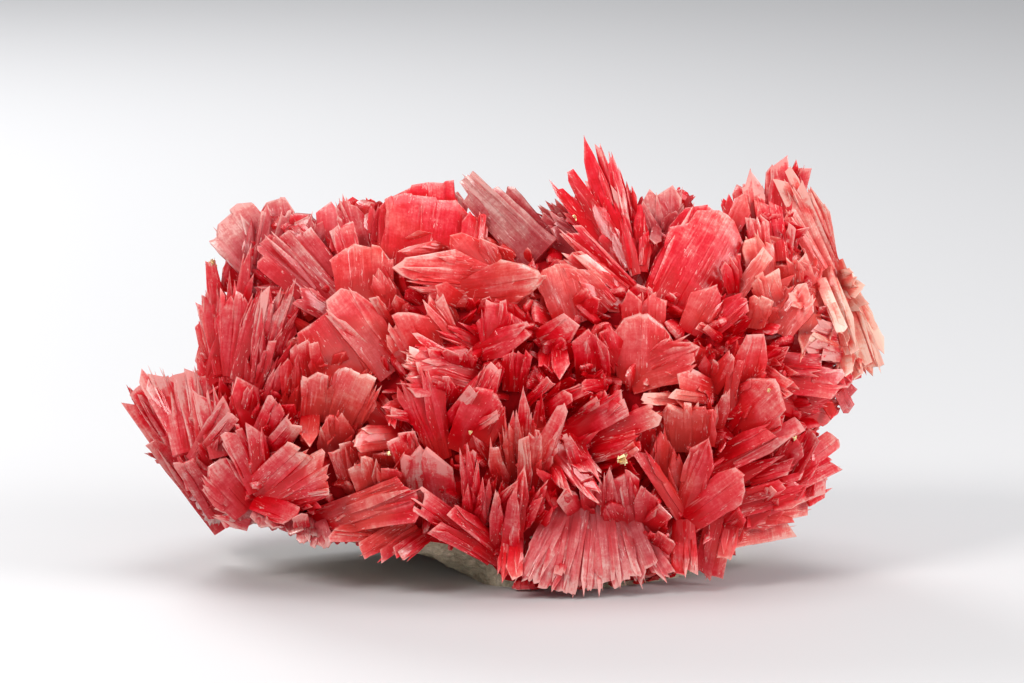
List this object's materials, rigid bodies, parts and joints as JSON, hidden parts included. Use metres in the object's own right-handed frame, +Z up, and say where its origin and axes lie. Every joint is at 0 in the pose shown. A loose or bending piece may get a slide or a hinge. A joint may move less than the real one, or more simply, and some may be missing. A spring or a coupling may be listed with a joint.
{
  "type": "rhodonite crystal specimen on matrix",
  "caption": "Rhodonite mineral specimen: a dense cluster of bladed pink to red crystals in sprays, grown on a piece of grey-green matrix with a flat cut base.",
  "frame": {"origin": "on the flat cut under the matrix, near the middle of the cluster, at the height of the surface that it rests on", "axes": "+X to the right along the cluster's length, +Y from the front with the best crystals to the back, +Z up"},
  "size_m": [0.1147, 0.0618, 0.0654],
  "materials": {
    "crystals": "glassy translucent pink to red crystal faces, finely striated",
    "matrix": "rough grey-green and beige rock",
    "ore_grains": "small bright metallic ore grains"
  },
  "bodies": {
    "root": {"crystals": "crystals", "matrix": "matrix"}
  },
  "joints": []
}
